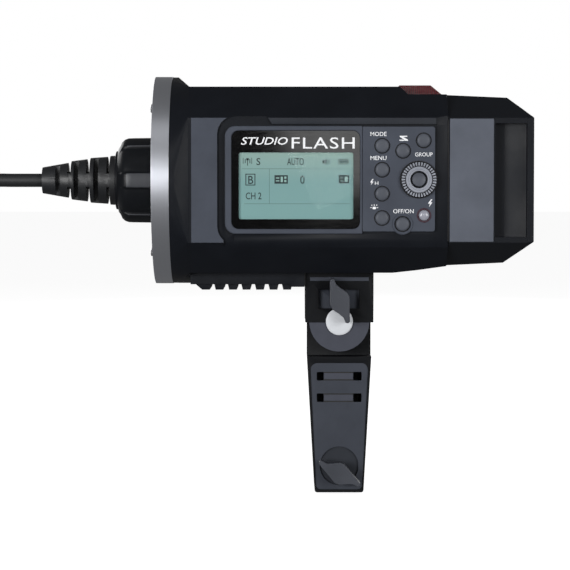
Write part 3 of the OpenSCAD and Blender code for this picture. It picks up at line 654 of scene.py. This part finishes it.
def bracket_tone_and_highlight(face):
    """Grey on the cheek and the floor of the knob's recess, and a lighter grey along the ridge as a painted
    highlight.
    """
    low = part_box("bracket_head")[0]
    centre = face.center
    if abs(face.normal.y) < 0.97 or centre.y > -17 * MM:
        return "bracket_black"
    if centre.z < centre_of("pivot_bolt").z + 1.5 * MM:
        return "cheek_grey"
    # The ridge's front faces get the handle's grey as a painted highlight.
    ridge_highlight = centre.y < low.y + 0.5 * MM
    floor = centre.y > low.y + 2.5 * MM
    return "handle_grey" if ridge_highlight or floor else "bracket_black"


def seam_gasket():
    """Dark seal in the gap between the body and the battery pack."""
    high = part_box("battery_case")[1]
    inset = 1.2 * MM
    top = high.z - AXIS_Z - inset
    side = abs(FACE_Y) - inset
    section = [(-side, -0.034), (-0.031, -top), (0.031, -top), (side, -0.034),
               (side, 0.034), (0.031, top), (-0.031, top), (-side, 0.034)]
    x0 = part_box("housing_control_side")[1].x - 0.3 * MM
    mesh = bpy.data.meshes.new("seam_gasket")
    points = [(x, y, AXIS_Z + z) for x in (x0, x0 + 0.5 * MM) for y, z in section]
    count = len(section)
    faces = [tuple(range(count)), tuple(range(2 * count - 1, count - 1, -1))]
    for k in range(count):
        n = (k + 1) % count
        faces.append((k, k + count, n + count, n))
    mesh.from_pydata(points, [], faces)
    settle(add_object("seam_gasket", mesh), "rear_frame", "gasket_black")


def strip_end():
    """Dark block that fills the narrow gap between the cooling strip and the bracket."""
    strip_low, strip_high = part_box("vent_grille")
    x1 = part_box("bracket_head")[0].x
    y = strip_high.y - 2 * MM
    low = Vector((strip_high.x - 0.2 * MM, -y, strip_low.z + 2.2 * MM))
    size = Vector((x1 - low.x + 0.1 * MM, 2 * y, 8 * MM))
    mesh = bpy.data.meshes.new("strip_end_pad")
    corners = []
    for a in (0, 1):
        for b in (0, 1):
            for c in (0, 1):
                corners.append(low + Vector((size.x * a, size.y * b, size.z * c)))
    faces = [(0, 1, 3, 2), (4, 6, 7, 5), (0, 4, 5, 1), (2, 3, 7, 6), (0, 2, 6, 4), (1, 5, 7, 3)]
    mesh.from_pydata(corners, [], faces)
    settle(add_object("strip_end_pad", mesh), "vent_grille", "gasket_black")


def slot_inlays():
    """Raised bar in each slot of the handle's panel, with a dark line above and below it as painted shade in
    the gaps.
    """
    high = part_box("handle_panel")[1]
    face_y = high.y - 1.0 * MM
    for k, z in enumerate(SLOT_HEIGHTS):
        up = z - AXIS_Z / MM
        outline = rectangle(-8.8, 8.0, up - 1.75, up + 1.75, 0.3)
        bar = plate("slot_bar_%d" % k, outline, 0.5, face_y - 0.35 * MM)
        settle(bar, "handle_panel", "cheek_grey")
        # Dark lines above and below each bar: painted shade of the gaps round the bar.
        lines = [plate("line", rectangle(-9.1, 8.3, up + a, up + b), 0.1, face_y - 0.06 * MM)
                 for a, b in ((-2.5, -1.8), (1.8, 2.5))]
        settle(joined("slot_shade_lines_%d" % k, lines), "handle_panel", "gasket_black")


def knob_seat_shade():
    """Darker floor of the round seat under the clamp knob, as painted shade of the recess."""
    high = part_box("handle_panel")[1]
    profile = [(0, 0), (0, 11.1), (0.3, 11.1), (0.3, 0)]
    seat = lathe("knob_seat_shade", profile, (0, high.y, KNOB_HEIGHT * MM), (0, -1, 0), 96)
    # The darker strip moulding on this floor is painted shade.
    settle(seat, "handle_panel", "upper_strip")


def make_shells():
    for node, width in EDGE_WIDTHS.items():
        soften(node, width)
    breaks = [((FRONT_X, 0, 0), (1, 0, 0)), ((ISLAND_X, 0, 0), (1, 0, 0)), ((0, 0, STRIP_Z), (0, 0, 1))]
    for node in ("housing_control_side", "housing_far_side"):
        piece = soften(node, 0.9, cuts=breaks)
        paint_facets(piece, ["black_moulding", "housing_grey", "upper_strip"], housing_tone_and_shade)
    bracket = soften("bracket_head", 0.9)
    paint_facets(bracket, ["bracket_black", "cheek_grey", "handle_grey"], bracket_tone_and_highlight)
    seam_gasket()
    strip_end()
    slot_inlays()
    knob_seat_shade()


make_shells()


# ---------------------------------------------------------------- controls
def button_cap(node, material):
    """Domed cap with a rolled rim and a short skirt."""
    low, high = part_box(node)
    centre = (low + high) / 2
    r = (high.x - low.x) / 2 / MM
    length = (high.y - low.y) / MM
    profile = [(0, 0), (0, r - 0.2), (0.2, r), (length - 1.15, r), (length - 0.75, r - 0.14),
               (length - 0.45, r - 0.45), (length - 0.22, r - 0.95), (length - 0.08, r * 0.6),
               (length - 0.01, r * 0.3), (length, 0)]
    piece = lathe(node + "_cap", profile, (centre.x, high.y, centre.z), (0, -1, 0), 64)
    return settle(piece, node, material, replace=True)


def make_buttons():
    for node in NODES:
        if node.startswith("button_"):
            button_cap(node, "test_cap" if node == "button_test" else "key_plastic")


def make_dial():
    """Knurled dial: radial teeth on a sloping rim, a ring step and a dished centre, with painted highlights
    on the teeth and the step.
    """
    low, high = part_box("control_dial")
    c = (low + high) / 2
    r = (high.x - low.x) / 2 / MM
    teeth = 36
    length = (high.y - low.y) / MM
    bore = 4.3

    def tooth(a, i):
        depth = 0.035 if i in (3, 4) else 0.0
        return 1 - depth * (0.5 + 0.5 * math.tanh(2.5 * math.cos(teeth * a)))

    profile = [(0.2, bore), (0.2, 6.0), (length - 3.0, 6.0), (length - 2.9, r), (length - 0.9, r - 0.05),
               (length - 0.35, r - 0.75), (length - 0.2, 7.6), (length - 0.5, 7.2), (length - 0.5, 6.7),
               (length - 0.1, 6.4), (length, 5.9), (length - 0.15, 5.0), (length - 0.6, bore), (0.2, bore)]
    dial = lathe("control_dial_knurled", profile, (c.x, high.y, c.z), (0, -1, 0), teeth * 8, tooth)
    settle(dial, "control_dial", "dial_black", replace=True)
    # The lighter ring on the step is a painted highlight.
    step = [(0, 4.85), (0, 7.2), (0.2, 7.35), (0.42, 7.2), (0.5, 6.9), (0.45, 6.0), (0.4, 5.2),
            (0.25, 4.9), (0, 4.85)]
    face = lathe("control_dial_step_highlight", step, (c.x, low.y + 0.45 * MM, c.z), (0, -1, 0), 96)
    settle(face, "control_dial", "dial_face")
    # Light flat ribs on the teeth: painted highlights on the knurl.
    ribs = []
    for k in range(teeth):
        a = 2 * math.pi * k / teeth
        outline = []
        for radius, half in ((7.8, 0.34), (9.7, 0.5)):
            for s in ((-1, 1) if radius < 8 else (1, -1)):
                outline.append((c.x / MM + radius * math.cos(a) - s * half * math.sin(a),
                                (c.z - AXIS_Z) / MM + radius * math.sin(a) + s * half * math.cos(a)))
        ribs.append(plate("rib", outline, 0.5, low.y - 0.02 * MM))
    ring = joined("control_dial_rib_highlights", ribs)
    settle(ring, "control_dial", "dial_face")
    low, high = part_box("dial_centre_button")
    r = (high.x - low.x) / 2 / MM
    length = (high.y - low.y) / MM
    profile = [(0, 0), (0, r), (length - 1.2, r), (length - 0.7, r - 0.15), (length - 0.5, r - 0.5),
               (length - 0.9, r * 0.6), (length - 1.05, r * 0.3), (length - 1.1, 0)]
    button = lathe("dial_centre_cap", profile, (c.x, high.y, c.z), (0, -1, 0), 64)
    settle(button, "dial_centre_button", "key_plastic", replace=True)


def ring_piece(name, x, z, r_in, r_out, height, y_face, node, material):
    """Flat moulded ring with rounded edges, round a button."""
    profile = [(0, r_in), (0, r_out), (height - 0.25, r_out), (height, r_out - 0.25),
               (height, r_in + 0.2), (height - 0.2, r_in), (0, r_in)]
    piece = lathe(name, profile, (x, y_face, z), (0, -1, 0), 96)
    return settle(piece, node, material)


def make_collars():
    plate_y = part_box("control_plate")[0].y
    power = centre_of("button_power")
    face_y = plate_y + 0.1 * MM
    ring_piece("power_collar", power.x, power.z, 4.6, 5.8, 0.7, face_y, "control_plate", "housing_grey")
    test = centre_of("button_test")
    MATERIALS["test_glow"] = printed("test_ready_glow", (0.035, 0.008, 0.018))
    ring_piece("test_light_ring", test.x, test.z, 3.1, 4.1, 0.35, face_y, "control_plate", "test_glow")
    dial = centre_of("control_dial")
    # Dark ring round the dial: painted shadow in the gap round it.
    ring_piece("dial_shade_ring", dial.x, dial.z, 9.9, 10.75, 0.2, face_y, "control_plate", "gasket_black")
    for node in NODES:
        if node.startswith("button_") and node != "button_test":
            low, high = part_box(node)
            r = (high.x - low.x) / 2 / MM
            c = (low + high) / 2
            # Dark ring round each key: painted shadow in its gap.
            ring_piece(
                node + "_shade_ring", c.x, c.z, r + 0.02, r + 0.6, 0.3, face_y, "control_plate", "gasket_black",
            )


make_buttons()
make_dial()
make_collars()


# ---------------------------------------------------------------- display
LCD = dict(x0=-57.3, x1=6.9, z0=-21.8, z1=15.6)


def bars(name, boxes, y_face, material, radius=0.0):
    """Flat printed marks: a list of (x0, x1, z0, z1) in mm."""
    piece = joined(name, [plate("bar", rectangle(*b, radius), 0.05, y_face - 0.05 * MM) for b in boxes])
    return settle(piece, "lcd_panel", material)


def lcd_film():
    """Lit film that carries the segments, in front of the LCD module's glass."""
    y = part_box("lcd_panel")[0].y - 0.02 * MM
    MATERIALS["lcd_film"] = lit_panel(
        "lcd_film", (0.138, 0.248, 0.248), (0.192, 0.278, 0.258), 0.3,
        AXIS_Z + LCD["z0"] * MM, AXIS_Z + LCD["z1"] * MM,
    )
    gap = 0.02
    outline = rectangle(LCD["x0"] + gap, LCD["x1"] - gap, LCD["z0"] + gap, LCD["z1"] - gap, 1.2)
    piece = plate("lcd_film", outline, 0.02, y)
    settle(piece, "lcd_panel", "lcd_film")
    return y


def make_lcd():
    y = lcd_film()
    lines = [(-55.5, 5.3, 6.35, 6.6), (-40.3, -40.05, -13.0, 6.4), (-54.3, 4.9, -13.25, -13.0)]
    bars("lcd_rules", lines, y, "lcd_ink_light")
    boxes = [(-37.3, -29.8, -1.9, 2.9), (-1.2, 4.6, -1.7, 2.9)]
    bars("lcd_blocks", boxes, y, "lcd_ink")
    inside = [(-36.5, -34.6, -0.6, 0.0), (-36.5, -34.6, 1.0, 1.6), (-33.8, -32.6, -1.0, 2.0),
              (-31.8, -30.6, -1.0, 0.2), (-31.8, -30.6, 0.9, 2.1), (-0.4, 1.2, 1.2, 1.8),
              (-0.4, 1.2, -0.6, 0.0), (2.0, 3.8, -0.9, 2.1)]
    MATERIALS["lcd_gap"] = printed("lcd_gap", (0.22, 0.34, 0.32), 0.25)
    bars("lcd_block_marks", inside, y - 0.05 * MM, "lcd_gap")
    frame_boxes = [
        (-53.6, -48.0, 3.2, 3.7), (-53.6, -48.0, -2.9, -2.4),
        (-53.6, -53.1, -2.9, 3.7), (-48.5, -48.0, -2.9, 3.7),
    ]
    antenna = [
        (-52.6, -52.2, 8.2, 12.2), (-53.9, -53.5, 9.6, 12.0), (-51.3, -50.9, 9.6, 12.0),
        (-55.0, -54.7, 9.2, 12.6), (-50.2, -49.9, 9.2, 12.6), (-53.1, -51.7, 11.2, 12.4),
    ]
    speaker = [
        (-10.4, -9.2, 9.6, 11.2), (-9.0, -8.6, 9.2, 11.6),
        (-8.4, -8.0, 8.7, 12.1), (-7.0, -6.6, 9.0, 11.8),
    ]
    battery = [
        (-1.4, 4.0, 11.6, 12.0), (-1.4, 4.0, 9.0, 9.4), (-1.4, -1.0, 9.0, 12.0), (3.6, 4.0, 9.0, 12.0),
        (4.1, 4.6, 9.9, 11.1), (-0.6, 0.4, 9.8, 11.2), (0.8, 1.8, 9.8, 11.2), (2.2, 3.2, 9.8, 11.2),
    ]
    bars("lcd_icons", frame_boxes + antenna + speaker + battery, y, "lcd_ink")
    words = [("B", -52.4, -2.0, 4.6, 3.2), ("S", -47.6, 8.6, 3.9, 2.4), ("AUTO", -30.2, 8.6, 3.9, 9.4),
             ("0", -23.0, -1.9, 4.6, 2.6), ("CH 2", -53.6, -10.6, 3.8, 9.0)]
    letters = [lettering(t, x, z, h, y, 0.05, 1.0, 0.05, 0, w) for t, x, z, h, w in words]
    piece = joined("lcd_words", letters)
    settle(piece, "lcd_panel", "lcd_ink")


def make_window():
    """Gloss mask round the LCD, its clear pane and a plain generic title."""
    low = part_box("display_window")[0]
    NODES["display_window"].data.materials.clear()
    NODES["display_window"].data.materials.append(MATERIALS["window_gloss"])
    pane = plate(
        "display_pane",
        rectangle(LCD["x0"] - 0.01, LCD["x1"] + 0.01, LCD["z0"] - 0.01, LCD["z1"] + 0.01, 1.0),
        0.3, low.y + 0.02 * MM,
    )
    MATERIALS["clear_pane"] = clear_pane()
    settle(pane, "display_window", "clear_pane")
    first = lettering("STUDIO", -56.4, 20.0, 4.1, low.y, 0.06, 1.0, 0.06, 0.25, 26.5)
    second = lettering("FLASH", -28.6, 17.8, 6.3, low.y, 0.06, 1.1, 0.02, 0, 36.2)
    settle(joined("display_title", [first, second]), "display_window", "white_ink")


def bolt_outline(x, z, size):
    points = [(0.1, 0.5), (-0.28, -0.05), (-0.02, -0.05), (-0.14, -0.5), (0.28, 0.1), (0.02, 0.1), (0.3, 0.5)]
    return [(x + px * size, z + pz * size) for px, pz in points]


def make_labels():
    """Small generic words and icons printed beside the buttons."""
    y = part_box("control_plate")[0].y
    words = [("MODE", 16.2, 24.8, 2.3, 9.2), ("MENU", 16.2, 11.4, 2.3, 9.2), ("GROUP", 41.3, 13.4, 2.2, 9.9),
             ("OFF/ON", 29.1, -18.4, 2.3, 11.6), ("H", 18.7, -2.5, 1.9, 2.2)]
    letters = [lettering(t, x, z, h, y, 0.05, 1.0, 0.015, 0, w) for t, x, z, h, w in words]
    icons = [
        bolt_outline(17.2, -1.0, 3.4),
        bolt_outline(49.9, -12.8, 4.4),
        [(32.6, 22.1), (37.4, 22.1), (37.4, 22.7), (34.6, 24.3), (37.0, 24.3), (37.0, 24.9),
         (32.8, 24.9), (32.8, 24.3), (35.4, 22.7), (32.6, 22.7)],
        rectangle(17.6, 19.6, -16.2, -14.8, 0.6),
        rectangle(18.4, 18.8, -14.4, -13.4),
        rectangle(16.4, 17.2, -15.5, -15.1),
        rectangle(20.0, 20.8, -15.5, -15.1),
        [(16.9, -13.9), (17.2, -14.3), (17.6, -13.9), (17.3, -13.5)],
        [(19.6, -13.9), (20.0, -14.3), (20.3, -13.9), (19.9, -13.5)],
    ]
    marks = [plate("icon", o, 0.05, y - 0.05 * MM) for o in icons]
    settle(joined("control_labels", letters + marks), "control_plate", "white_ink")


make_lcd()
make_window()
make_labels()


# ---------------------------------------------------------------- plug and fasteners
def make_grip():
    """Locking collar of the plug: six broad raised ribs."""
    low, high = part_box("plug_grip")
    length = (high.x - low.x) / MM
    ribs = 6
    rib_half = 4.5
    rib_radius = 25

    def rib(a, i):
        spot = (a * ribs / (2 * math.pi) + 0.5) % 1 - 0.5
        width = rib_half / (2 * math.pi * rib_radius / ribs)
        edge = 1 / (1 + math.exp((abs(spot) - width) * 130))
        lift = 0.055 if 3 <= i <= 9 else 0.0
        return 1 + lift * edge

    profile = [(0.2, 17.1), (0.2, 18.6), (0.9, 19.6), (2.6, 22.4), (4.2, 23.9), (6.0, 24.5), (9, 24.6),
               (13, 24.65), (17, 24.7), (length - 1.0, 24.75), (length - 0.3, 24.4), (length - 0.1, 23.6),
               (length - 0.1, 17.1), (0.2, 17.1)]
    grip = lathe("plug_grip_ribbed", profile, (low.x, 0, AXIS_Z), (1, 0, 0), 360, rib)
    settle(grip, "plug_grip", "plug_black", replace=True)
    # Rib faces that look straight to the sides get a lighter moulding as a painted highlight.
    grip.data.materials.append(MATERIALS["grip_rib_highlight"])
    for face in grip.data.polygons:
        out = math.hypot(face.center.y, face.center.z - AXIS_Z)
        if abs(face.normal.x) < 0.3 and out > 25.4 * MM and abs(face.normal.y) > 0.95:
            face.material_index = 1


def make_screws(node, places, axis, radius, height, shank):
    """Pan-head screws with a hexagon socket, one piece for the node's set."""
    profile = [(-shank, 0), (-shank, radius * 0.58), (0, radius * 0.58), (0, radius),
               (height * 0.55, radius), (height * 0.9, radius * 0.86), (height, radius * 0.66),
               (height, radius * 0.52), (height * 0.35, radius * 0.5), (height * 0.3, 0)]

    def hexagon(a, i):
        if i not in (7, 8):
            return 1
        return 0.93 / math.cos((a + math.pi / 6) % (math.pi / 3) - math.pi / 6)

    parts = [lathe("screw", profile, place, axis, 48, hexagon) for place in places]
    piece = joined(node + "_set", parts)
    smooth(piece.data)
    settle(piece, node, "steel_fasteners", replace=True)


def solids_of(node):
    """Boxes of a node's separate solids, from its connected vertices."""
    work = bmesh.new()
    work.from_mesh(NODES[node].data)
    bmesh.ops.remove_doubles(work, verts=work.verts, dist=2e-6)
    left = set(work.verts)
    found = []
    while left:
        stack = [left.pop()]
        island = []
        while stack:
            v = stack.pop()
            island.append(v.co.copy())
            for e in v.link_edges:
                o = e.other_vert(v)
                if o in left:
                    left.remove(o)
                    stack.append(o)
        low = Vector([min(c[i] for c in island) for i in range(3)])
        high = Vector([max(c[i] for c in island) for i in range(3)])
        found.append((low, high))
    work.free()
    return found


def make_fasteners():
    seats = [(RING[0].x, (a.y + b.y) / 2, (a.z + b.z) / 2) for a, b in solids_of("ring_screws")]
    make_screws("ring_screws", seats, (-1, 0, 0), 2.4, 1.0, 9.5)
    far_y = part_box("housing_far_side")[1].y
    seats = [((a.x + b.x) / 2, far_y, (a.z + b.z) / 2) for a, b in solids_of("housing_screws")]
    make_screws("housing_screws", seats, (0, 1, 0), 2.9, 1.2, 11.5)


def make_pivot():
    """Bright satin disc of the pivot bolt: a chamfered rim and a slightly domed face."""
    low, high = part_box("pivot_bolt")
    c = (low + high) / 2
    length = (high.y - low.y) / MM
    profile = [(0, 0), (0, 4.0), (length - 1.6, 4.0), (length - 1.6, 7.8), (length - 0.45, 7.8),
               (length - 0.05, 7.3), (length, 6.9), (length + 0.15, 5.0), (length + 0.3, 2.5),
               (length + 0.35, 0)]
    bolt = lathe("pivot_bolt_disc", profile, (c.x, high.y, c.z), (0, -1, 0), 96)
    settle(bolt, "pivot_bolt", "polished_disc", replace=True)


make_grip()
make_fasteners()
make_pivot()


# ---------------------------------------------------------------- finishes of the other nodes
def finish_nodes():
    """Nodes that keep their own shape get their slot's finish."""
    for node, thing in NODES.items():
        material = MATERIALS.get(SLOT_OF[node])
        if material is None or node == "display_window":
            continue
        thing.data.materials.clear()
        thing.data.materials.append(material)


MATERIALS["lcd_green"] = printed("lcd_module_frame", (0.12, 0.16, 0.15))
finish_nodes()


# ---------------------------------------------------------------- floor and light
def make_floor():
    """Plain white studio floor, which lights nothing and shows in no reflection."""
    reach = 12.0
    z = -0.4 * MM
    corners = [(-reach, -reach, z), (reach, -reach, z), (reach, reach, z), (-reach, reach, z)]
    mesh = bpy.data.meshes.new("studio_floor")
    mesh.from_pydata(corners, [], [(0, 1, 2, 3)])
    floor = add_object("studio_floor", mesh)
    m = Nodes("studio_floor")
    m.set(Base_Color=(0.5, 0.5, 0.5, 1), Roughness=0.9, Specular_IOR_Level=0.1,
          Emission_Color=(1, 1, 1, 1), Emission_Strength=0.88)
    floor.data.materials.append(m.material)
    floor.visible_diffuse = False
    floor.visible_glossy = False


def softbox(name, place, target, width, height, power, roll=0.0):
    light = bpy.data.lights.new(name, "AREA")
    light.shape = "RECTANGLE"
    light.size = width
    light.size_y = height
    light.energy = power
    thing = bpy.data.objects.new(name, light)
    thing.location = place
    aim = (Vector(target) - Vector(place)).to_track_quat("-Z", "Y")
    thing.rotation_euler = (aim.to_matrix() @ Matrix.Rotation(roll, 3, "Z")).to_euler()
    bpy.context.scene.collection.objects.link(thing)


def make_lights():
    world = bpy.data.worlds.new("studio")
    world.use_nodes = True
    bpy.context.scene.world = world
    bpy.context.scene.view_settings.view_transform = "Standard"
    tree = world.node_tree
    ambient = tree.nodes["Background"]
    ambient.inputs["Color"].default_value = (1, 1, 1, 1)
    ambient.inputs["Strength"].default_value = 0.14
    seen = tree.nodes.new("ShaderNodeBackground")
    seen.inputs["Color"].default_value = (1, 1, 1, 1)
    seen.inputs["Strength"].default_value = 1.0
    path = tree.nodes.new("ShaderNodeLightPath")
    mix = tree.nodes.new("ShaderNodeMixShader")
    tree.links.new(path.outputs["Is Camera Ray"], mix.inputs["Fac"])
    tree.links.new(ambient.outputs["Background"], mix.inputs[1])
    tree.links.new(seen.outputs["Background"], mix.inputs[2])
    tree.links.new(mix.outputs["Shader"], tree.nodes["World Output"].inputs["Surface"])
    middle = (0, 0, AXIS_Z - 0.02)
    softbox("left_front_box", (-1.0, -1.5, 0.3), middle, 0.8, 0.7, 24.5)
    softbox("right_front_box", (1.0, -1.5, 0.3), middle, 0.7, 0.7, 15)
    softbox("top_box", (0.1, -0.9, 1.5), middle, 1.4, 0.7, 1.3)
    softbox("back_left_box", (-1.1, 1.5, 0.5), middle, 1.4, 1.0, 13)
    softbox("back_right_box", (1.1, 1.5, 0.6), middle, 1.4, 1.0, 13)
    window_box()


def window_box():
    """Small tilted softbox behind the camera, whose soft edge crosses the display's gloss."""
    distance, tilt = 1.75, math.radians(26)
    up = Vector((-math.sin(tilt), 0, math.cos(tilt)))
    right = Vector((math.cos(tilt), 0, math.sin(tilt)))
    corner = Vector((0.011, -distance, AXIS_Z - 0.040))
    height, width = 0.22, 0.16
    place = corner + up * height / 2 + right * width / 2
    softbox("window_box", place, place + Vector((0, 1, 0)), width, height, 0.95, tilt)


make_floor()
make_lights()
